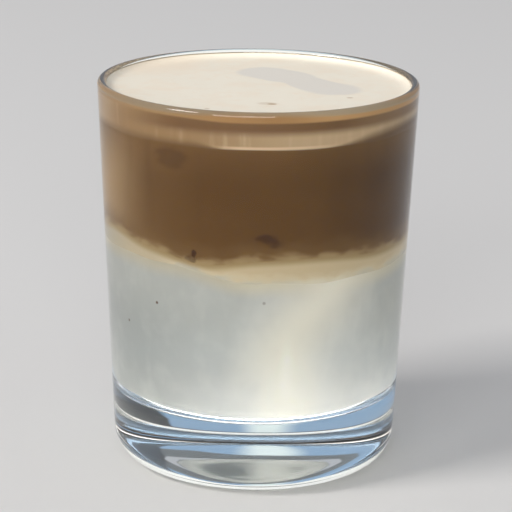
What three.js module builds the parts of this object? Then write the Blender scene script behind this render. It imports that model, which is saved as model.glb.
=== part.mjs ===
// A coconut coffee float in the clear tumbler that holds it, in millimetres, with +Z up.
// The origin is the centre of the tumbler's underside, on the plane it stands on.
// From the bottom up the drink is cloudy coconut water, a thin band where the two have mixed,
// coffee cream, and a pale foam that comes nearly to the brim.
import * as THREE from "three";

// The tumbler
const GLASS_HEIGHT = 100;
const RIM_RADIUS = 41;
const HEEL_RADIUS = 36.8;
const HEEL_REACH = 7.5;
const HEEL_RISE = 8.5;
const RIM_THICKNESS = 2.3;
const FOOT_WALL_THICKNESS = 2.8;
const FLOOR_HEIGHT = 19;
const FLOOR_CURVE = 3;
const PUNT_RADIUS = 27;
const PUNT_DEPTH = 4;

// The levels of the drink, before the swells of each boundary are added
const WATER_TOP = 56.9;
const COFFEE_BOTTOM = 62;
const FOAM_BOTTOM = 90.4;
const FOAM_TOP = 97.8;
const MENISCUS_RISE = 1.5;
const MENISCUS_REACH = 0.8;

// The swells of the boundaries. x and y are places across the drink, from -1 to 1, where -y is
// its front and x runs to the right. A swell is rise millimetres high, or deep where it is below
// zero, and reach is the share of the radius over which it fades.
const COFFEE_SWELLS = [
  { x: -0.9, y: -0.4, reach: 0.42, rise: 2.6 },
  { x: -0.38, y: -0.92, reach: 0.26, rise: -1.2 },
  { x: 0.3, y: -0.95, reach: 0.22, rise: 0.9 },
  { x: 0.95, y: -0.4, reach: 0.35, rise: -0.9 },
  { x: -0.7, y: 0.68, reach: 0.36, rise: 1.5 },
  { x: 0.45, y: 0.88, reach: 0.34, rise: -1.7 },
  { x: 0.1, y: 0.05, reach: 0.4, rise: 0.8 },
];
const WATER_SWELLS = [
  { x: 0.5, y: -0.85, reach: 0.3, rise: -0.4 },
  { x: -0.2, y: 0.95, reach: 0.3, rise: -1 },
  { x: 0.85, y: 0.45, reach: 0.4, rise: 1.1 },
];
// On the left the mixed band thins out, because the water stands higher there.
const SHELF_RISE = 3.2;
const SHELF_WIDTH = 0.62;
const RIPPLE_RISE = 0.22;
const RIPPLES_ROUND = 11;

// Neighbouring pieces stand this far apart.
const GAP = 0.3;

// Steps round the axis, along each small curve of the profile, and across the punt
const SEGMENTS = 72;
const CURVE_STEPS = 6;
const PUNT_STEPS = 7;

// Radii of the tumbler's outer and inner wall at a height. Both are straight and lean outwards.
const LIP_HEIGHT = GLASS_HEIGHT - RIM_THICKNESS / 2;
const FOOT_HEIGHT = FLOOR_HEIGHT + FLOOR_CURVE;

function outerRadius(z) {
  return THREE.MathUtils.mapLinear(z, HEEL_RISE, LIP_HEIGHT, HEEL_RADIUS, RIM_RADIUS);
}

const INNER_FOOT_RADIUS = outerRadius(FOOT_HEIGHT) - FOOT_WALL_THICKNESS;
const INNER_RIM_RADIUS = RIM_RADIUS - RIM_THICKNESS;

function innerRadius(z) {
  return THREE.MathUtils.mapLinear(
    z, FOOT_HEIGHT, LIP_HEIGHT, INNER_FOOT_RADIUS, INNER_RIM_RADIUS,
  );
}

// Points of a curve in the profile's plane, from one angle to another, in degrees. It is round,
// or taller or lower than that where rise differs from radius.
function arc(centreRadius, centreHeight, radius, from, to, rise = radius) {
  return Array.from({ length: CURVE_STEPS + 1 }, (_, step) => {
    const angle = THREE.MathUtils.degToRad(THREE.MathUtils.lerp(from, to, step / CURVE_STEPS));
    return new THREE.Vector2(
      centreRadius + radius * Math.cos(angle),
      centreHeight + rise * Math.sin(angle),
    );
  });
}

// Turns a profile of radius and height about +Z.
function turned(profile) {
  return new THREE.LatheGeometry(profile, SEGMENTS).rotateX(Math.PI / 2);
}

// The punt is a shallow dome in the underside, inside the ring that the tumbler stands on.
function puntPoint(step) {
  const share = step / PUNT_STEPS;
  return new THREE.Vector2(PUNT_RADIUS * share, PUNT_DEPTH * (1 - share ** 2));
}

// The tumbler: the punt, a rounded heel, a thick clear base, straight walls, a round lip and an
// inner floor with a small curve at its edge.
function tumblerGeometry() {
  const lip = RIM_THICKNESS / 2;
  return turned([
    ...Array.from({ length: PUNT_STEPS + 1 }, (_, step) => puntPoint(step)),
    ...arc(HEEL_RADIUS - HEEL_REACH, HEEL_RISE, HEEL_REACH, -90, 0, HEEL_RISE),
    ...arc(RIM_RADIUS - lip, LIP_HEIGHT, lip, 0, 180),
    ...arc(INNER_FOOT_RADIUS - FLOOR_CURVE, FOOT_HEIGHT, FLOOR_CURVE, 0, -90),
    new THREE.Vector2(0, FLOOR_HEIGHT),
  ]);
}

// The height that a list of swells gives at a place across the drink.
function swelling(swells, x, y) {
  return swells.reduce((sum, swell) => {
    const away = Math.hypot(x - swell.x, y - swell.y) / swell.reach;
    return sum + swell.rise * Math.exp(-(away ** 2));
  }, 0);
}

function ripple(x, y) {
  return RIPPLE_RISE * Math.hypot(x, y) * Math.sin(RIPPLES_ROUND * Math.atan2(y, x));
}

// The boundaries of the drink, from the bottom up. Each has its height at a place across the
// drink, the rings of points that shape it, as shares of the radius, and the clearance that the
// layers above and below it keep.
const FLAT_SHARE = (INNER_FOOT_RADIUS - FLOOR_CURVE) / (INNER_FOOT_RADIUS - GAP);
const CONTENT_CURVE = FLOOR_CURVE - GAP;

const floor = {
  height: (x, y) => {
    const past = Math.max(0, Math.hypot(x, y) - FLAT_SHARE) * (INNER_FOOT_RADIUS - GAP);
    return FOOT_HEIGHT - Math.sqrt(Math.max(0, CONTENT_CURVE ** 2 - past ** 2));
  },
  rings: [
    0, 0.35, 0.7,
    ...arc(0, 0, 1, -90, 0).map((turn) => FLAT_SHARE + (1 - FLAT_SHARE) * turn.x),
  ],
  clearance: 0,
};

const waterTop = {
  height: (x, y) =>
    WATER_TOP +
    SHELF_RISE * THREE.MathUtils.smoothstep(-x, 0, SHELF_WIDTH) +
    swelling(WATER_SWELLS, x, y) +
    ripple(y, x),
  rings: [0, 0.3, 0.55, 0.75, 0.9, 1],
  clearance: GAP / 2,
};

const coffeeBottom = {
  height: (x, y) => COFFEE_BOTTOM + swelling(COFFEE_SWELLS, x, y) + ripple(x, y),
  rings: waterTop.rings,
  clearance: GAP / 2,
};

const foamBottom = {
  height: (x, y) => FOAM_BOTTOM + ripple(-x, y) / 2,
  rings: [0, 0.5, 1],
  clearance: GAP / 2,
};

const foamTop = {
  height: (x, y) => {
    const fromWall = (1 - Math.hypot(x, y)) * innerRadius(FOAM_TOP);
    return FOAM_TOP + MENISCUS_RISE * Math.exp(-fromWall / MENISCUS_REACH);
  },
  rings: [0, 0.5, 0.8, 0.91, 0.945, 0.97, 0.985, 1],
  clearance: 0,
};

// A layer of the drink between two boundaries. A profile with a radius of 1 is turned, with 0 as
// the height of the lower boundary and 1 as that of the upper. Each of its points is then put at
// its real height, and out to the wall there.
function layerGeometry(lower, upper) {
  const geometry = turned([
    ...lower.rings.map((ring) => new THREE.Vector2(ring, 0)),
    ...upper.rings.toReversed().map((ring) => new THREE.Vector2(ring, 1)),
  ]);
  const points = geometry.getAttribute("position");
  for (let i = 0; i < points.count; i += 1) {
    const x = points.getX(i);
    const y = points.getY(i);
    const isUpper = points.getZ(i) > 0.5;
    const z = isUpper
      ? upper.height(x, y) - upper.clearance
      : lower.height(x, y) + lower.clearance;
    const radius = innerRadius(Math.max(z, FOOT_HEIGHT)) - GAP;
    points.setXYZ(i, x * radius, y * radius, z);
  }
  geometry.computeVertexNormals();
  return geometry;
}

const finishes = {
  clearGlass: new THREE.MeshStandardMaterial({
    color: 0xe6ecea,
    roughness: 0.04,
    metalness: 0,
    transparent: true,
    opacity: 0.35,
  }),
  coconutWater: new THREE.MeshStandardMaterial({ color: 0xcfd2c8, roughness: 0.2, metalness: 0 }),
  mixedBand: new THREE.MeshStandardMaterial({ color: 0xb6a37b, roughness: 0.45, metalness: 0 }),
  coffeeCream: new THREE.MeshStandardMaterial({ color: 0x6a4d31, roughness: 0.4, metalness: 0 }),
  creamFoam: new THREE.MeshStandardMaterial({ color: 0xe9e0cd, roughness: 0.6, metalness: 0 }),
};

function piece(name, geometry, material) {
  const mesh = new THREE.Mesh(geometry, material);
  mesh.name = name;
  return mesh;
}

const coffeeFloat = new THREE.Group();
coffeeFloat.add(
  piece("tumbler", tumblerGeometry(), finishes.clearGlass),
  piece("coconut_water", layerGeometry(floor, waterTop), finishes.coconutWater),
  piece("mixed_band", layerGeometry(waterTop, coffeeBottom), finishes.mixedBand),
  piece("coffee_cream", layerGeometry(coffeeBottom, foamBottom), finishes.coffeeCream),
  piece("cream_foam", layerGeometry(foamBottom, foamTop), finishes.creamFoam),
);

export default coffeeFloat;
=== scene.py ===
# A coconut coffee float in its clear tumbler: cloudy coconut water, a mixed band, coffee cream and
# a pale foam. Lengths are metres, with +Z up, and -Y is the side that the camera looks at.
import math

import bmesh
import bpy
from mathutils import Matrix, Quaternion, Vector, noise


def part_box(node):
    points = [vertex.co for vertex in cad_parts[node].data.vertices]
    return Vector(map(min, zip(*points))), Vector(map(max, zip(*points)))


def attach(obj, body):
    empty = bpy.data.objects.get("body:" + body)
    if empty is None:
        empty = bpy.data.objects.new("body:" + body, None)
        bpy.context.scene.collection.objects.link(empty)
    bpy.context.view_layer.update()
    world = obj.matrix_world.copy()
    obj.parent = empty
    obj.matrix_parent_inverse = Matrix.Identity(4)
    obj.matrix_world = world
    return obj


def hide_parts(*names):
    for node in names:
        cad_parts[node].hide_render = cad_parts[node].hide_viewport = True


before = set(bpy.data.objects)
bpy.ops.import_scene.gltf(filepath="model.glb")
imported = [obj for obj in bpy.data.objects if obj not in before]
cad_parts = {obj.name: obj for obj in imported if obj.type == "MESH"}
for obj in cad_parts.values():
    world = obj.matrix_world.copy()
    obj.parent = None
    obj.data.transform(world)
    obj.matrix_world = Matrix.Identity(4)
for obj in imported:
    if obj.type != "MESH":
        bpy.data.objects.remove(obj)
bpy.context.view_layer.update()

MM = 0.001

# The tumbler, as in the frame
RIM_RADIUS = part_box("tumbler")[1].x
GLASS_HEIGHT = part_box("tumbler")[1].z
HEEL_RADIUS = 36.8 * MM
HEEL_REACH = 7.5 * MM
HEEL_RISE = 8.5 * MM
RIM_THICKNESS = 2.3 * MM
FOOT_WALL_THICKNESS = 2.8 * MM
FLOOR_HEIGHT = 19 * MM
FLOOR_CURVE = 3 * MM
PUNT_RADIUS = 27 * MM
PUNT_DEPTH = 4 * MM
LIP_HEIGHT = GLASS_HEIGHT - RIM_THICKNESS / 2
FOOT_HEIGHT = FLOOR_HEIGHT + FLOOR_CURVE

# The levels of the drink, as in the frame
WATER_TOP = 56.9 * MM
COFFEE_BOTTOM = 62 * MM
FOAM_BOTTOM = 90.4 * MM
FOAM_TOP = 97.8 * MM
MENISCUS_RISE = 1.5 * MM
MENISCUS_REACH = 0.8 * MM

# The swells of the levels, as in the frame. Each has its x and y across the drink, from -1 to 1,
# the share of the radius over which it fades, and its height.
COFFEE_SWELLS = (
    (-0.9, -0.4, 0.42, 2.6 * MM),
    (-0.38, -0.92, 0.26, -1.2 * MM),
    (0.3, -0.95, 0.22, 0.9 * MM),
    (0.95, -0.4, 0.35, -0.9 * MM),
    (-0.7, 0.68, 0.36, 1.5 * MM),
    (0.45, 0.88, 0.34, -1.7 * MM),
    (0.1, 0.05, 0.4, 0.8 * MM),
)
WATER_SWELLS = (
    (0.5, -0.85, 0.3, -0.4 * MM),
    (-0.2, 0.95, 0.3, -1 * MM),
    (0.85, 0.45, 0.4, 1.1 * MM),
)
SHELF_RISE = 3.2 * MM
SHELF_WIDTH = 0.62
RIPPLE_RISE = 0.22 * MM
RIPPLES_ROUND = 11

# The top of the foam also has low swells and a grain: how high they are, how fine, and the slice
# of the noise that they are taken from.
SURFACE_SWELL_RISE = 0.09 * MM
SURFACE_SWELL_FINENESS = 3.1
SURFACE_SWELL_SLICE = 0.4
SURFACE_GRAIN_RISE = 0.012 * MM
SURFACE_GRAIN_FINENESS = 24
SURFACE_GRAIN_SLICE = 7.7

# The liquids reach this far into the wall, so that no air shows between them and the glass.
WALL_BITE = 0.15 * MM
WATER_WALL_BITE = 0.12 * MM
# The mixed band reaches this far down into the water.
LAYER_BITE = 0.3 * MM

# Steps round the axis, round each small curve of the tumbler, and across its punt
TURN_STEPS = 192
CURVE_STEPS = 14
PUNT_STEPS = 28
# The foam's top has closer rings where it rises at the wall. They are shares of its radius.
FOAM_EDGE_RINGS = (0.92, 0.94, 0.955, 0.967, 0.976, 0.984, 0.99, 0.9945, 0.9975)
MERGE_DISTANCE = 0.0001 * MM
SHARP_ANGLE = math.radians(50)


def spread(value, low, high, first, second):
    """value's place between low and high, carried over to first and second."""
    return first + (value - low) / (high - low) * (second - first)


def smooth_share(value, low, high):
    share = min(1, max(0, (value - low) / (high - low)))
    return share * share * (3 - 2 * share)


def outer_radius(z):
    return spread(z, HEEL_RISE, LIP_HEIGHT, HEEL_RADIUS, RIM_RADIUS)


INNER_FOOT_RADIUS = outer_radius(FOOT_HEIGHT) - FOOT_WALL_THICKNESS


def inner_radius(z):
    return spread(z, FOOT_HEIGHT, LIP_HEIGHT, INNER_FOOT_RADIUS, RIM_RADIUS - RIM_THICKNESS)


# The levels of the drink at a place across it

def swelling(swells, x, y):
    """The height that a list of swells gives."""
    total = 0
    for at_x, at_y, reach, rise in swells:
        away = math.hypot(x - at_x, y - at_y) / reach
        total += rise * math.exp(-away * away)
    return total


def ripple(x, y):
    return RIPPLE_RISE * math.hypot(x, y) * math.sin(RIPPLES_ROUND * math.atan2(y, x))


def floor_level(x, y):
    flat = (INNER_FOOT_RADIUS - FLOOR_CURVE) / INNER_FOOT_RADIUS
    past = max(0, math.hypot(x, y) - flat) * INNER_FOOT_RADIUS
    return FOOT_HEIGHT - math.sqrt(max(0, FLOOR_CURVE ** 2 - past ** 2)) - WALL_BITE


def water_level(x, y):
    shelf = SHELF_RISE * smooth_share(-x, 0, SHELF_WIDTH)
    return WATER_TOP + shelf + swelling(WATER_SWELLS, x, y) + ripple(y, x)


def band_foot_level(x, y):
    return water_level(x, y) - LAYER_BITE


def coffee_level(x, y):
    return COFFEE_BOTTOM + swelling(COFFEE_SWELLS, x, y) + ripple(x, y)


def foam_level(x, y):
    return FOAM_BOTTOM + ripple(-x, y) / 2


def surface_level(x, y):
    from_wall = (1 - math.hypot(x, y)) * inner_radius(FOAM_TOP)
    meniscus = MENISCUS_RISE * math.exp(-from_wall / MENISCUS_REACH)
    swell_at = Vector((x, y, SURFACE_SWELL_SLICE)) * SURFACE_SWELL_FINENESS
    grain_at = Vector((x, y, SURFACE_GRAIN_SLICE)) * SURFACE_GRAIN_FINENESS
    swell = SURFACE_SWELL_RISE * noise.noise(swell_at)
    grain = SURFACE_GRAIN_RISE * noise.noise(grain_at)
    return FOAM_TOP + meniscus + swell + grain


# Shapes

def finished(name, bm, finish):
    """An object at the origin from a bmesh, smooth but for its sharp corners."""
    mesh = bpy.data.meshes.new(name)
    bm.to_mesh(mesh)
    bm.free()
    mesh.shade_smooth()
    mesh.set_sharp_from_angle(angle=SHARP_ANGLE)
    mesh.materials.append(finish)
    piece = bpy.data.objects.new(name, mesh)
    bpy.context.scene.collection.objects.link(piece)
    return piece


def turned(points):
    """A bmesh of a line through points of radius and height, turned a full circle about +Z."""
    bm = bmesh.new()
    verts = [bm.verts.new((radius, 0, height)) for radius, height in points]
    for pair in zip(verts, verts[1:]):
        bm.edges.new(pair)
    bmesh.ops.spin(
        bm, geom=bm.verts[:] + bm.edges[:], cent=(0, 0, 0), axis=(0, 0, 1), dvec=(0, 0, 0),
        angle=2 * math.pi, steps=TURN_STEPS, use_merge=True, use_duplicate=False,
    )
    bmesh.ops.remove_doubles(bm, verts=bm.verts[:], dist=MERGE_DISTANCE)
    bmesh.ops.recalc_face_normals(bm, faces=bm.faces[:])
    return bm


def curve(centre, height, reach, rise, start, end):
    """Points of radius and height round a centre, from one angle to another in degrees."""
    steps = range(CURVE_STEPS + 1)
    angles = [math.radians(spread(step, 0, CURVE_STEPS, start, end)) for step in steps]
    return [(centre + reach * math.cos(each), height + rise * math.sin(each)) for each in angles]


def tumbler(finish):
    """The clear tumbler: the dome of its punt, the round heel, the lip, and the inner floor."""
    lip = RIM_THICKNESS / 2
    shares = [step / PUNT_STEPS for step in range(PUNT_STEPS + 1)]
    bm = turned([
        *[(PUNT_RADIUS * share, PUNT_DEPTH * (1 - share ** 2)) for share in shares],
        *curve(HEEL_RADIUS - HEEL_REACH, HEEL_RISE, HEEL_REACH, HEEL_RISE, -90, 0),
        *curve(RIM_RADIUS - lip, LIP_HEIGHT, lip, lip, 0, 180),
        *curve(INNER_FOOT_RADIUS - FLOOR_CURVE, FOOT_HEIGHT, FLOOR_CURVE, FLOOR_CURVE, 0, -90),
        (0, FLOOR_HEIGHT),
    ])
    return finished("tumbler_glass", bm, finish)


def rings(count, edge=()):
    """Shares of the radius from the axis to the wall, with closer ones at the edge."""
    last = edge[0] if edge else 1
    return [last * step / count for step in range(count)] + list(edge) + [1]


def drink_layer(name, lower, upper, lower_rings, upper_rings, side_steps, finish, bite=WALL_BITE):
    """A layer of the drink between two levels. An outline of shares is turned, and then each
    point is put at its real height and out to the wall. Every point keeps how far it is above
    the lower level, below the upper one and from the wall, for the finish."""
    outline = [(ring, 0) for ring in lower_rings]
    outline += [(1, step / side_steps) for step in range(1, side_steps)]
    outline += [(ring, 1) for ring in reversed(upper_rings)]
    bm = turned(outline)
    above_lower = bm.verts.layers.float.new("above_lower")
    below_upper = bm.verts.layers.float.new("below_upper")
    from_wall = bm.verts.layers.float.new("from_wall")
    for vert in bm.verts:
        x, y, share = vert.co
        low = lower(x, y)
        high = upper(x, y)
        z = low + (high - low) * share
        radius = inner_radius(max(z, FOOT_HEIGHT)) + bite
        vert[above_lower] = z - low
        vert[below_upper] = high - z
        vert[from_wall] = (1 - math.hypot(x, y)) * radius
        vert.co = (x * radius, y * radius, z)
    return finished(name, bm, finish)


# Shader helpers

def paint(red, green, blue):
    """A colour of the usual 0 to 255 steps, as the linear colour that a shader takes."""
    linear = [
        step / 255 / 12.92 if step <= 10 else ((step / 255 + 0.055) / 1.055) ** 2.4
        for step in (red, green, blue)
    ]
    return (*linear, 1)


def add(tree, kind, inputs=None, **settings):
    """A node with its settings, and with each input set to a value or linked to a socket."""
    made = tree.nodes.new(kind)
    for name, value in settings.items():
        setattr(made, name, value)
    for key, value in (inputs or {}).items():
        if isinstance(value, bpy.types.NodeSocket):
            tree.links.new(value, made.inputs[key])
        else:
            made.inputs[key].default_value = value
    return made


def math_node(tree, operation, first, second=0.0, clamp=False):
    return add(
        tree, "ShaderNodeMath", {0: first, 1: second}, operation=operation, use_clamp=clamp,
    ).outputs[0]


def plus(tree, first, second):
    return math_node(tree, "ADD", first, second)


def minus(tree, first, second):
    return math_node(tree, "SUBTRACT", first, second)


def times(tree, first, second):
    return math_node(tree, "MULTIPLY", first, second)


def length(tree, vector):
    return add(tree, "ShaderNodeVectorMath", {0: vector}, operation="LENGTH").outputs["Value"]


def fade(tree, value, low, high, first=0.0, second=1.0):
    """first below low, second above high, and smooth in between."""
    return add(
        tree, "ShaderNodeMapRange",
        {"Value": value, "From Min": low, "From Max": high, "To Min": first, "To Max": second},
        interpolation_type="SMOOTHSTEP",
    ).outputs["Result"]


def mix(tree, share, first, second):
    """The colour first where share is 0, and second where it is 1. A mix node keeps its share at
    input 0, and its colours at inputs 6 and 7 and output 2."""
    inputs = {0: share, 6: first, 7: second}
    return add(tree, "ShaderNodeMix", inputs, data_type="RGBA").outputs[2]


def place(tree, *measures):
    """The place on the piece, and by name what a finish can fade over: its x, y and z, and the
    measures that its points keep."""
    at = add(tree, "ShaderNodeTexCoord").outputs["Object"]
    split = add(tree, "ShaderNodeSeparateXYZ", {0: at}).outputs
    over = {"x": split["X"], "y": split["Y"], "z": split["Z"]}
    for name in measures:
        over[name] = add(tree, "ShaderNodeAttribute", attribute_name=name).outputs["Fac"]
    return at, over


def mapped(tree, at, shift, scale):
    inputs = {"Vector": at, "Location": shift, "Scale": scale}
    return add(tree, "ShaderNodeMapping", inputs).outputs[0]


def speckle(tree, at, size, stretch=(1, 1, 1), detail=3.0, shift=(0, 0, 0)):
    """Soft noise of about 0.5, with features of a size in metres."""
    vector = mapped(tree, at, shift, [1 / (size * share) for share in stretch])
    inputs = {"Vector": vector, "Scale": 1.0, "Detail": detail}
    return add(tree, "ShaderNodeTexNoise", inputs).outputs["Fac"]


def spot(tree, at, centre, reach, stretch=(1, 1, 1)):
    """1 at a centre, falling to 0 at reach."""
    scale = [1 / (reach * share) for share in stretch]
    shift = [-part * by for part, by in zip(centre, scale)]
    return fade(tree, length(tree, mapped(tree, at, shift, scale)), 0, 1, 1, 0)


def share_of(tree, over, fades):
    """The product of some fades. Each is the name of a value, the two places between which it
    fades, and then its shares there, unless they are 0 and 1. A name alone is a share already."""
    parts = [
        over[each] if isinstance(each, str) else fade(tree, over[each[0]], *each[1:])
        for each in fades
    ]
    share = parts[0]
    for part in parts[1:]:
        share = times(tree, share, part)
    return share


def tinted(tree, tone, over, tints):
    """tone with some tints over it, in their order. Each is a colour and its fades."""
    for colour, *fades in tints:
        tone = mix(tree, share_of(tree, over, fades), tone, colour)
    return tone


def specked(tree, at, tone, specks, colour, grain=None, core=0.7):
    """tone with specks of a colour. Each has its centre, how far it reaches, its stretch and its
    share of the colour. It is plain where its spot is over core, and grain breaks it up."""
    for centre, reach, stretch, share in specks:
        speck = spot(tree, at, centre, reach, stretch)
        if grain:
            speck = times(tree, speck, grain)
        tone = mix(tree, fade(tree, speck, 0.1, core, 0, share), tone, colour)
    return tone


def ragged(tree, at, value, lowest, highest):
    """A value with soft noise added, so that what fades over it has a ragged edge."""
    wisps = speckle(tree, at, 6 * MM, stretch=(1, 1, 0.5))
    return plus(tree, value, fade(tree, wisps, 0.3, 0.7, lowest, highest))


def new_finish(name, inputs, kind="ShaderNodeBsdfPrincipled"):
    """A material with one shader, its tree and the shader."""
    finish = bpy.data.materials.new(name)
    finish.use_nodes = True
    tree = finish.node_tree
    tree.nodes.clear()
    shader = add(tree, kind, inputs)
    add(tree, "ShaderNodeOutputMaterial", {"Surface": shader.outputs[0]})
    return finish, tree, shader


# Colours

BROWN = paint(100, 65, 8)
DARK_BROWN = paint(78, 47, 2)
TAN_BROWN = paint(180, 146, 98)
LIGHT_BROWN = paint(132, 96, 50)
CLUMP_BROWN = paint(66, 34, 0)
SPECK_BROWN = paint(92, 62, 34)
EDGE_BROWN = paint(124, 92, 48)
EDGE_TAN = paint(172, 146, 102)
BAND_BEIGE = paint(214, 194, 156)
BAND_PALE = paint(225, 210, 178)
BAND_GREY = paint(206, 199, 180)
BAND_BRIGHT = paint(230, 221, 198)
BAND_WARM = paint(200, 184, 154)
BAND_LEFT = paint(184, 176, 154)
WATER_GREY = paint(206, 207, 201)
WATER_PALE = paint(228, 229, 226)
WATER_SHADE_AND_MOTTLE = paint(186, 188, 184)
WATER_WARM = paint(250, 248, 240)
WATER_GLOW = paint(255, 251, 238)
WATER_BEAM = paint(254, 246, 226)
WATER_BEIGE = paint(226, 212, 180)
WATER_BEIGE_BRIGHT = paint(246, 234, 202)
BASE_BLUE = paint(146, 174, 202)
BASE_GREY = paint(120, 136, 152)
UNDER_PALE = paint(150, 150, 145)
UNDER_MIDDLE = paint(124, 125, 120)
UNDER_GREY = paint(72, 75, 74)
UNDER_BLUE = paint(176, 208, 240)
CREAM = paint(239, 231, 214)
CREAM_PEACH = paint(238, 222, 200)
CREAM_GREY = paint(218, 213, 205)
FOAM_ORANGE = paint(178, 132, 75)
FOAM_BRIGHT = paint(208, 162, 104)
FOAM_RIM = paint(160, 140, 112)
FOAM_RIM_BRIGHT = paint(188, 168, 138)
FOAM_DARK = paint(126, 88, 42)
FOAM_SHADE = paint(146, 112, 72)
FOAM_BACK = paint(206, 190, 162)
FOAM_LEFT = paint(186, 154, 112)
FOAM_TAN = paint(168, 132, 86)
FOAM_PALE = paint(214, 184, 142)
FOAM_LINE = paint(234, 206, 168)
STAGE_GREY = paint(213, 212, 211)
STAGE_GLOW = (1, 0.98, 0.94, 1)
CARD_WHITE = (1, 1, 0.97, 1)
CARD_PALE = paint(226, 239, 239)
CARD_CLOUD = paint(168, 170, 170)
CARD_BLUE = paint(140, 168, 196)
CARD_GREY = paint(112, 116, 118)
CARD_DARK = paint(74, 77, 80)

# The specks and spots of the finishes. Each starts with its centre and how far it reaches, and
# then has its stretch and its share or strength.
COFFEE_CLUMPS = (
    ((-20 * MM, -31.6 * MM, 87 * MM), 6.4 * MM, (1.3, 1, 0.7), 0.4),
    ((2.4 * MM, -37 * MM, 68.2 * MM), 3.2 * MM, (1.4, 1, 0.6), 0.8),
    ((4.6 * MM, -37 * MM, 66.8 * MM), 3.2 * MM, (1, 1, 0.6), 0.7),
    ((-14.8 * MM, -33.85 * MM, 63.4 * MM), 1.5 * MM, (0.8, 1, 1.1), 1.0),
    ((-15.6 * MM, -33.5 * MM, 62 * MM), 2.6 * MM, (1, 1, 0.8), 0.55),
)
WATER_SPECKS = (
    ((-23.8 * MM, -27.3 * MM, 48.7 * MM), 0.7 * MM, (1, 1, 1), 1.0),
    ((-30.7 * MM, -18.6 * MM, 41.3 * MM), 0.7 * MM, (1, 1, 1), 0.8),
    ((2.1 * MM, -36.3 * MM, 51.6 * MM), 0.7 * MM, (1, 1, 1), 0.5),
)
FOAM_SPECKS = (
    ((3.4 * MM, -20.2 * MM, FOAM_TOP), 1.2 * MM, (1.6, 1, 1), 0.8),
    ((2.2 * MM, -19.6 * MM, FOAM_TOP), 2.6 * MM, (1.6, 1, 1), 0.25),
    ((22.9 * MM, -11.4 * MM, FOAM_TOP), 0.9 * MM, (1.6, 1, 1), 0.6),
    ((-12.5 * MM, -26 * MM, FOAM_TOP), 0.7 * MM, (1.6, 1, 1), 0.5),
)
# Painted light that the water emits where the round glass gathers light in it: a wide glow, a
# streak and two small gleams
WATER_GATHERS = (
    ((9 * MM, -35 * MM, 26 * MM), 20 * MM, (0.85, 1.4, 1), 0.1),
    ((7.7 * MM, -35 * MM, 34 * MM), 13 * MM, (0.2, 1, 1), 0.06),
    ((7.9 * MM, -35.4 * MM, 36.5 * MM), 2.2 * MM, (0.8, 1.4, 1), 0.06),
    ((6.8 * MM, -35.2 * MM, 29.7 * MM), 1.8 * MM, (0.8, 1.4, 1), 0.06),
)
# The painted glow of light in the water, and its brighter core
WATER_GLOW_SPOT = ((11 * MM, -34 * MM, 18 * MM), 56 * MM, (0.5, 1.4, 1))
WATER_CORE_SPOT = ((8.5 * MM, -36 * MM, 27 * MM), 30 * MM, (0.34, 1.4, 1))
# The places that make up the grey patch of painted reflection on the foam, and the peach one at its
# back left
FOAM_PATCHES = (
    ((1.6 * MM, 18.6 * MM, FOAM_TOP), 14.5 * MM),
    ((9.4 * MM, 12 * MM, FOAM_TOP), 12 * MM),
    ((13.6 * MM, 4.4 * MM, FOAM_TOP), 9 * MM),
    ((18.8 * MM, -1.2 * MM, FOAM_TOP), 15 * MM),
)
FOAM_PEACH_SPOT = ((-30 * MM, 30 * MM, FOAM_TOP), 24 * MM)

# How the milky layers take the light
MILKY = {"Roughness": 0.5, "Specular IOR Level": 0.0}


# Finishes

def brown_group():
    """The milky brown of the coffee cream, as a colour over the whole drink. Painted light makes it
    lightest at the left, and painted shade makes it darkest at the right."""
    group = bpy.data.node_groups.new("milky_brown", "ShaderNodeTree")
    group.interface.new_socket(name="Color", in_out="OUTPUT", socket_type="NodeSocketColor")
    at, over = place(group)
    over["from_middle"] = math_node(group, "ABSOLUTE", over["x"])
    over["clouds"] = speckle(group, at, 17 * MM, stretch=(1, 1, 0.7))
    over["streaks"] = speckle(group, at, 5 * MM, stretch=(1, 1, 9), shift=(3, 1, 0))
    tone = tinted(group, BROWN, over, [
        # Painted shade darkens the right, and painted light lightens the left, most of all at its
        # edge
        (DARK_BROWN, ("x", 12 * MM, 36 * MM, 0, 0.8)),
        (TAN_BROWN, ("x", -30 * MM, -8 * MM, 0.12, 0)),
        (TAN_BROWN, ("x", -38.5 * MM, -25 * MM, 1, 0)),
        (LIGHT_BROWN, ("clouds", 0.4, 0.7, 0, 0.12)),
        # Lighter below the foam, and most of all at its sides
        (LIGHT_BROWN, ("from_middle", 14 * MM, 28 * MM, 0.35, 0.65), ("z", 80 * MM, 91 * MM)),
        (DARK_BROWN, ("streaks", 0.45, 0.75, 0, 0.15)),
    ])
    add(group, "NodeGroupOutput", {"Color": tone})
    return group


def clear_glass():
    return new_finish("clear_glass", {
        "Base Color": (0.985, 0.995, 0.99, 1),
        "IOR": 1.47,
        "Transmission Weight": 1.0,
        "Roughness": 0.0,
    })[0]


def coffee_finish(brown):
    """The brown, paler where it thins out at its lower and upper edge, with dark clumps."""
    finish, tree, shader = new_finish("coffee_cream_liquid", MILKY)
    at, over = place(tree, "above_lower", "below_upper")
    over["above_edge"] = ragged(tree, at, over["above_lower"], -0.7 * MM, 0.9 * MM)
    milky_brown = add(tree, "ShaderNodeGroup", node_tree=brown).outputs["Color"]
    tone = tinted(tree, milky_brown, over, [
        (EDGE_BROWN, ("below_upper", 0, 2 * MM, 0.35, 0)),
        (EDGE_BROWN, ("above_edge", 0.5 * MM, 7 * MM, 0.8, 0)),
        (EDGE_TAN, ("above_edge", -0.4 * MM, 2.2 * MM, 1, 0)),
    ])
    grain = fade(tree, speckle(tree, at, 1.6 * MM), 0.3, 0.7, 0.6, 1.4)
    tone = specked(tree, at, tone, COFFEE_CLUMPS, CLUMP_BROWN, grain)
    tree.links.new(tone, shader.inputs["Base Color"])
    return finish


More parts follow.
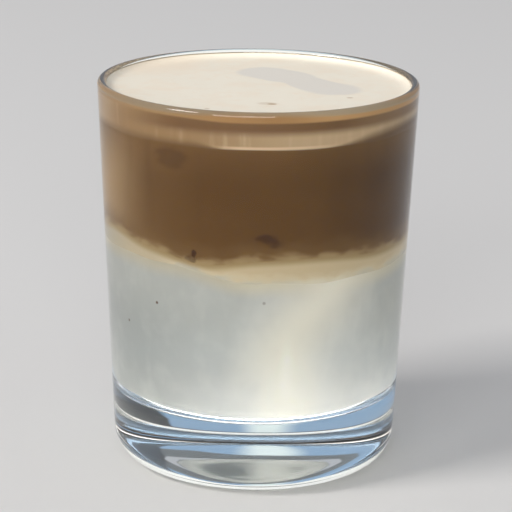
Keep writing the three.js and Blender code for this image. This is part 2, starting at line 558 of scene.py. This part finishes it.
def band_finish():
    """Beige, greyer towards the water and at the left, with painted light right of the middle next
    to the water, and browner towards the coffee.
    """
    finish, tree, shader = new_finish("mixed_band_liquid", MILKY)
    at, over = place(tree, "above_lower", "below_upper")
    over["above_edge"] = ragged(tree, at, over["above_lower"], -0.8 * MM, 0.8 * MM)
    # Grey next to the water, brighter right of the middle with painted light where the water's
    # painted beam reaches it
    grey = tinted(tree, BAND_GREY, over, [
        (BAND_BRIGHT, ("x", 4 * MM, 14 * MM), ("x", 28 * MM, 20 * MM)),
    ])
    tone = tinted(tree, BAND_PALE, over, [
        (BAND_BEIGE, ("above_edge", 0, 3 * MM)),
        (grey, ("above_edge", -0.8 * MM, 1.6 * MM, 1, 0)),
        (BAND_WARM, ("x", -25 * MM, -18 * MM, 0.8, 0)),
        (BAND_LEFT, ("x", -37 * MM, -29 * MM, 0.8, 0)),
        (EDGE_TAN, ("below_upper", 0, 2 * MM, 1, 0)),
    ])
    tree.links.new(tone, shader.inputs["Base Color"])
    return finish


def water_finish():
    """Cloudy grey, with painted light: paler towards the bottom, and warm and glowing where light
    gathers and along a beam that leans to the right. Painted shade darkens its left and its
    underside, and painted reflections give the greys and blues that its underside shows through the
    tumbler's base."""
    finish, tree, shader = new_finish("cloudy_coconut_water", {
        "Roughness": 0.5,
        "IOR": 1.33,
        "Transmission Weight": 0.35,
        "Emission Color": WATER_GLOW,
    })
    at, over = place(tree, "below_upper")
    x, y, z = over["x"], over["y"], over["z"]
    clouds = speckle(tree, at, 11 * MM, stretch=(1, 1, 1.6))
    clouding = fade(tree, clouds, 0.35, 0.7, -0.2, 0.2)
    over["glow"] = math_node(tree, "ADD", spot(tree, at, *WATER_GLOW_SPOT), clouding, clamp=True)
    over["core"] = spot(tree, at, *WATER_CORE_SPOT)
    over["patches"] = speckle(tree, at, 6 * MM, detail=2, shift=(5, 0, 2))

    # The beam of painted light is at the front only, and its middle moves to the right as it rises.
    beam_middle = fade(tree, z, 30 * MM, 66 * MM, 5 * MM, 22 * MM)
    over["from_beam"] = math_node(tree, "ABSOLUTE", minus(tree, x, beam_middle))
    over["beam"] = share_of(tree, over, [
        ("from_beam", 16 * MM, 0, 0, 0.85), ("y", -8 * MM, -20 * MM), ("z", 26 * MM, 42 * MM),
    ])

    # A ray that the glass has mirrored twice sees the water from inside the base.
    path = add(tree, "ShaderNodeLightPath").outputs
    mirrored_twice = math_node(tree, "GREATER_THAN", path["Glossy Depth"], 1.5)
    over["seen_in_base"] = times(tree, mirrored_twice, 0.8)
    over["from_axis"] = length(tree, add(tree, "ShaderNodeCombineXYZ", {"X": x, "Y": y}).outputs[0])
    over["cloudy_x"] = plus(tree, x, times(tree, clouds, 12 * MM))

    tone = tinted(tree, WATER_GREY, over, [
        # Painted light: paler towards the bottom
        (WATER_PALE, ("z", 46 * MM, 22 * MM)),
        # Painted shade at the left, most of all low down
        (WATER_SHADE_AND_MOTTLE, ("x", -4 * MM, -30 * MM), ("z", 56 * MM, 40 * MM)),
        # Painted light where the round glass gathers it: a pale glow and its brighter core
        (WATER_WARM, "glow"),
        (WATER_GLOW, "core"),
        # Darker and warmer patches at random
        (WATER_SHADE_AND_MOTTLE, ("patches", 0.5, 0.8, 0, 0.15)),
        (WATER_WARM, ("patches", 0.55, 0.1, 0, 0.2)),
    ])
    tone = specked(tree, at, tone, WATER_SPECKS, SPECK_BROWN, core=0.8)
    beige = tinted(tree, WATER_BEIGE, over, [(WATER_BEIGE_BRIGHT, ("x", -10 * MM, 0))])
    # The flat underside's painted shade: dark grey, with a paler streak and a paler ring near its
    # edge
    under = tinted(tree, UNDER_GREY, over, [
        (UNDER_MIDDLE, ("cloudy_x", 4 * MM, 9 * MM), ("cloudy_x", 18 * MM, 13 * MM)),
        (UNDER_PALE, ("from_axis", 20 * MM, 25 * MM, 0, 0.6)),
    ])
    # The painted reflection seen from inside the base: blue, and grey at the left
    base = tinted(tree, BASE_BLUE, over, [(BASE_GREY, ("x", -6 * MM, -20 * MM))])
    tone = tinted(tree, tone, over, [
        (beige, ("below_upper", 0, 5 * MM, 0.8, 0)),
        # The beam of painted light
        (WATER_BEAM, "beam"),
        # The curve above the tumbler's floor: a painted blue reflection at the back, and painted
        # shade at the front
        (UNDER_BLUE, ("z", 25 * MM, 21.5 * MM), ("y", -12 * MM, 6 * MM)),
        (UNDER_PALE, ("z", 21.5 * MM, 19.5 * MM), ("y", 0, -12 * MM)),
        # The flat underside in its painted shade, and the painted reflection for all that is seen
        # from inside the base
        (under, ("z", 19.1 * MM, 18.95 * MM)),
        (base, "seen_in_base"),
    ])
    tree.links.new(tone, shader.inputs["Base Color"])

    # The water emits painted light: the upper part of the beam, and where the glass gathers light.
    gathered = share_of(tree, over, [
        "beam", ("z", 38 * MM, 52 * MM, 0, 0.09), ("from_beam", 10 * MM, 0),
    ])
    for centre, reach, stretch, strength in WATER_GATHERS:
        gleam = times(tree, spot(tree, at, centre, reach, stretch), strength)
        gathered = plus(tree, gathered, gleam)
    tree.links.new(gathered, shader.inputs["Emission Strength"])
    return finish


def foam_finish(brown):
    """The foam's side, which goes from the brown through a pale line with painted light at its left
    edge, a dark one and an orange one to the rim, with cream at the back. The top is cream, with
    peach, a grey patch of painted reflection, and specks."""
    finish, tree, shader = new_finish("cream_foam", {"Roughness": 0.45, "IOR": 1.35})
    at, over = place(tree, "below_upper", "from_wall")
    x, z = over["x"], over["z"]
    milky_brown = add(tree, "ShaderNodeGroup", node_tree=brown).outputs["Color"]
    streaks = speckle(tree, at, 2.2 * MM, stretch=(1, 1, 14))
    over["streaks"] = minus(tree, streaks, fade(tree, x, -12 * MM, -30 * MM, 0, 0.1))
    over["from_middle"] = math_node(tree, "ABSOLUTE", x)

    # The heights at which the pale, the orange and the rim's part start, and how softly the
    # pale one does
    pale_foot = fade(tree, x, 20 * MM, 40 * MM, 90.2 * MM, 91.8 * MM)
    pale_reach = plus(
        tree, fade(tree, x, -16 * MM, -8 * MM, 2.5 * MM, 0.6 * MM),
        fade(tree, x, 16 * MM, 30 * MM, 0, 2.6 * MM),
    )
    orange_foot = fade(tree, x, -20 * MM, -6 * MM, 97.5 * MM, 97.1 * MM)
    rim_foot = fade(tree, over["from_middle"], 4 * MM, 26 * MM, 98.8 * MM, 98.3 * MM)
    over["above_pale_foot"] = minus(tree, z, pale_foot)
    over["above_orange_foot"] = minus(tree, z, orange_foot)
    over["above_rim_foot"] = minus(tree, z, rim_foot)

    pale = tinted(tree, FOAM_TAN, over, [
        (FOAM_PALE, ("x", -20 * MM, 20 * MM)),
        # Painted light at the far left edge
        (FOAM_LEFT, ("x", -38 * MM, -32 * MM, 1, 0)),
        (FOAM_LINE, ("streaks", 0.45, 0.75, 0, 0.3)),
        # The pale lens at the foam's foot
        (FOAM_LINE, ("x", -12 * MM, -3 * MM), ("x", 22 * MM, 12 * MM), ("z", 91.5 * MM, 91 * MM)),
    ])
    dark = tinted(tree, FOAM_DARK, over, [(FOAM_SHADE, ("x", 18 * MM, 30 * MM))])
    orange = tinted(tree, FOAM_TAN, over, [
        (FOAM_ORANGE, ("x", -26 * MM, -4 * MM)),
        (FOAM_BRIGHT, ("x", 4 * MM, 20 * MM)),
    ])
    rim = tinted(tree, FOAM_RIM, over, [(FOAM_RIM_BRIGHT, ("x", -20 * MM, 26 * MM))])
    side = tinted(tree, milky_brown, over, [
        (pale, ("above_pale_foot", 0, pale_reach)),
        (dark, ("z", 93.2 * MM, 95.6 * MM), ("x", -36 * MM, -18 * MM)),
        (orange, ("above_orange_foot", -0.3 * MM, 0.3 * MM)),
        (rim, ("above_rim_foot", -0.4 * MM, 0.3 * MM)),
        (FOAM_BACK, ("y", 2 * MM, 18 * MM, 0, 0.75), ("z", 90 * MM, 92.5 * MM)),
    ])

    over["mottle"] = speckle(tree, at, 9 * MM)
    over["fine_mottle"] = speckle(tree, at, 2.6 * MM)
    over["peach_spot"] = spot(tree, at, *FOAM_PEACH_SPOT)
    # The grey patch, a painted reflection, starts from soft noise, which makes its outline wander.
    over["patch"] = times(tree, minus(tree, speckle(tree, at, 7 * MM), 0.5), 0.2)
    for centre, reach in FOAM_PATCHES:
        over["patch"] = plus(tree, over["patch"], spot(tree, at, centre, reach))
    cream = tinted(tree, CREAM, over, [
        (CREAM_PEACH, ("mottle", 0.45, 0.7, 0, 0.45)),
        (CREAM_PEACH, ("fine_mottle", 0.5, 0.7, 0, 0.3)),
        (CREAM_PEACH, ("peach_spot", 0, 0.6, 0, 0.6)),
        (CREAM_GREY, ("patch", 0.4, 0.66, 0, 0.75)),
    ])
    cream = specked(tree, at, cream, FOAM_SPECKS, FOAM_TAN)
    tone = tinted(tree, side, over, [
        (cream, ("below_upper", 0.1 * MM, 0.02 * MM), ("from_wall", 0.05 * MM, 0.25 * MM)),
    ])
    tree.links.new(tone, shader.inputs["Base Color"])
    return finish


# The pieces, each with the node that it replaces and its material slot
brown = brown_group()
pieces = (
    (tumbler(clear_glass()), "tumbler", "clear_glass"),
    (
        drink_layer(
            "cloudy_water", floor_level, water_level, lower_rings=rings(12),
            upper_rings=rings(10), side_steps=24, finish=water_finish(), bite=WATER_WALL_BITE,
        ),
        "coconut_water", "coconut_water",
    ),
    (
        drink_layer(
            "mixed_band_liquid", band_foot_level, coffee_level, lower_rings=rings(10),
            upper_rings=rings(10), side_steps=4, finish=band_finish(),
        ),
        "mixed_band", "mixed_band",
    ),
    (
        drink_layer(
            "coffee_cream_liquid", coffee_level, foam_level, lower_rings=rings(10),
            upper_rings=rings(4), side_steps=16, finish=coffee_finish(brown),
        ),
        "coffee_cream", "coffee_cream",
    ),
    (
        drink_layer(
            "foam_head", foam_level, surface_level, lower_rings=rings(4),
            upper_rings=rings(80, FOAM_EDGE_RINGS), side_steps=10, finish=foam_finish(brown),
        ),
        "cream_foam", "cream_foam",
    ),
)
for piece, node_name, slot_name in pieces:
    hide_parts(node_name)
    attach(piece, "root")


# The stage

STAGE_RADIUS = 8
STAGE_STEPS = 96
# The floor glows within this reach of the axis, with a strength of 1, and with this much more
# for the light that it gives to the drink.
STAGE_GLOW_REACH = 31 * MM
STAGE_GLOW_ON_DRINK = 10

# The cards that show through the tumbler's base: a ring on the floor and a wall round it
CARD_START = 29.6 * MM
CARD_RADIUS = 120 * MM
CARD_TOP = 78 * MM
RING_HEIGHT = 0.06 * MM
WALL_FOOT = 0.1 * MM
# Their colours fan out over x from this far behind the axis, and the fan starts as wide as it
# would be after FAN_NEAREST.
FAN_START = 44 * MM
FAN_NEAREST = 10 * MM
# The dark part leans to the right by this share of y.
CARD_LEAN = 0.4
CARD_LIGHT_REACH = 130 * MM

LIGHT_AIM = Vector((0, 0, 0.05))
SKY_COLOUR = (0.93, 0.95, 1.0, 1)
SKY_STRENGTH = 0.5

CAMERA_PLACE = Vector((0, -0.5898, 0.22181))
CAMERA_AIM = Vector((0, 0, 0.05304))
CAMERA_ROLL = math.radians(0.83)
FOCAL_PIXELS = 2360.91
IMAGE_PIXELS = 512


def lights_drink(tree):
    """1 for the light that a card gives to the drink, 0 where the card is seen through glass.
    The depths of a ray are whole numbers, so they are compared with halves."""
    path = add(tree, "ShaderNodeLightPath").outputs
    spread_out = math_node(tree, "GREATER_THAN", path["Diffuse Depth"], 0.5)
    through_drink = math_node(tree, "GREATER_THAN", path["Transmission Depth"], 2.5)
    return math_node(tree, "MAXIMUM", spread_out, through_drink)


def floor():
    """The stage's floor, with the light that the tumbler gathers on it underneath itself."""
    bm = bmesh.new()
    bmesh.ops.create_circle(bm, cap_ends=True, segments=STAGE_STEPS, radius=STAGE_RADIUS)
    matt, tree, shader = new_finish("pale_floor", {
        "Base Color": STAGE_GREY,
        "Roughness": 1.0,
        "Specular IOR Level": 0.0,
        "Emission Color": STAGE_GLOW,
    })
    at, _ = place(tree)
    gathered = fade(tree, spot(tree, at, (0, 0, 0), STAGE_GLOW_REACH), 0.02, 0.1)
    power = plus(tree, times(tree, lights_drink(tree), STAGE_GLOW_ON_DRINK), 1)
    tree.links.new(times(tree, gathered, power), shader.inputs["Emission Strength"])
    made = finished("floor", bm, matt)


def backdrop_card():
    """What shows through the tumbler's base: blue with a pale streak, grey from a height that
    falls towards the right, and dark farther right behind the tumbler. Where no glass mirrors
    it, its upper part is dark and then white. The drink is lit as by a bright floor, without
    these colours."""
    finish, tree, light = new_finish("backdrop_card", {}, "ShaderNodeEmission")
    at, over = place(tree)
    x, y, z = over["x"], over["y"], over["z"]
    behind = math_node(tree, "MAXIMUM", minus(tree, y, FAN_START), FAN_NEAREST)
    over["fan"] = math_node(tree, "DIVIDE", x, behind)
    over["above_blue"] = minus(tree, z, fade(tree, over["fan"], 0, 0.2, 57 * MM, 40 * MM))
    over["leaning_x"] = minus(tree, x, times(tree, y, CARD_LEAN))
    path = add(tree, "ShaderNodeLightPath").outputs
    over["straight"] = math_node(tree, "LESS_THAN", path["Glossy Depth"], 0.5)
    over["lighting"] = lights_drink(tree)
    ring = tinted(tree, CARD_DARK, over, [(CARD_WHITE, ("z", 20 * MM, 22.5 * MM))])
    bright_floor = tinted(tree, CARD_WHITE, over, [(CARD_CLOUD, ("z", 25 * MM, 30 * MM))])
    tone = tinted(tree, CARD_BLUE, over, [
        (CARD_PALE, ("fan", -0.17, -0.06), ("fan", 0.06, -0.02)),
        (CARD_GREY, ("above_blue", -2 * MM, 2 * MM)),
        (CARD_DARK, ("leaning_x", -20 * MM, -17 * MM), ("y", 0, 30 * MM)),
        (ring, "straight", ("z", 17 * MM, 18.5 * MM)),
        (bright_floor, "lighting"),
    ])
    tree.links.new(tone, light.inputs["Color"])

    # It lights the drink up to four times as strongly as it shows, most near the tumbler.
    over["near"] = spot(tree, at, (0, 0, 0), CARD_LIGHT_REACH)
    power = share_of(tree, over, [("near", 0.1, 0.8, 0.2, 3), "lighting"])
    tree.links.new(plus(tree, power, 1), light.inputs["Strength"])
    return finish


def card(name, start, end, finish):
    """A card turned about +Z from one radius and height to another. Only glass shows it."""
    made = finished(name, turned((start, end)), finish)
    made.visible_camera = False
    made.visible_diffuse = False
    made.visible_glossy = False
    made.visible_volume_scatter = False
    made.visible_shadow = False


def sky():
    world = bpy.data.worlds.new("studio")
    world.use_nodes = True
    light = world.node_tree.nodes["Background"]
    light.inputs["Color"].default_value = SKY_COLOUR
    light.inputs["Strength"].default_value = SKY_STRENGTH
    bpy.context.scene.world = world


def aimed(made, location, aim):
    """Links an object and points it from its location at a place. Its own axis is -Z."""
    bpy.context.scene.collection.objects.link(made)
    made.location = location
    made.rotation_mode = "QUATERNION"
    made.rotation_quaternion = (aim - Vector(location)).to_track_quat("-Z", "Y")


def soft_light(name, location, size, power, colour=(1, 1, 1)):
    lamp = bpy.data.lights.new(name, "AREA")
    lamp.shape = "RECTANGLE"
    lamp.size, lamp.size_y = size
    lamp.energy = power
    lamp.color = colour
    made = bpy.data.objects.new(name, lamp)
    aimed(made, location, LIGHT_AIM)
    made.visible_camera = False


def camera():
    lens = bpy.data.cameras.new("camera")
    lens.lens = lens.sensor_width * FOCAL_PIXELS / IMAGE_PIXELS
    made = bpy.data.objects.new("camera", lens)
    aimed(made, CAMERA_PLACE, CAMERA_AIM)
    made.rotation_quaternion = made.rotation_quaternion @ Quaternion((0, 0, 1), CAMERA_ROLL)
    bpy.context.scene.camera = made


floor()
sky()
surroundings = backdrop_card()
card("table_card", (CARD_START, RING_HEIGHT), (CARD_RADIUS, RING_HEIGHT), surroundings)
card("backdrop", (CARD_RADIUS, WALL_FOOT), (CARD_RADIUS, CARD_TOP), surroundings)
soft_light("key", (-2.75, -1.4, 2.6), size=(1.3, 1.3), power=95, colour=(1.0, 0.97, 0.93))
soft_light("fill", (-0.6, -3.4, 1.0), size=(2.8, 1.6), power=80)
camera()
bpy.context.scene.view_settings.view_transform = "Standard"
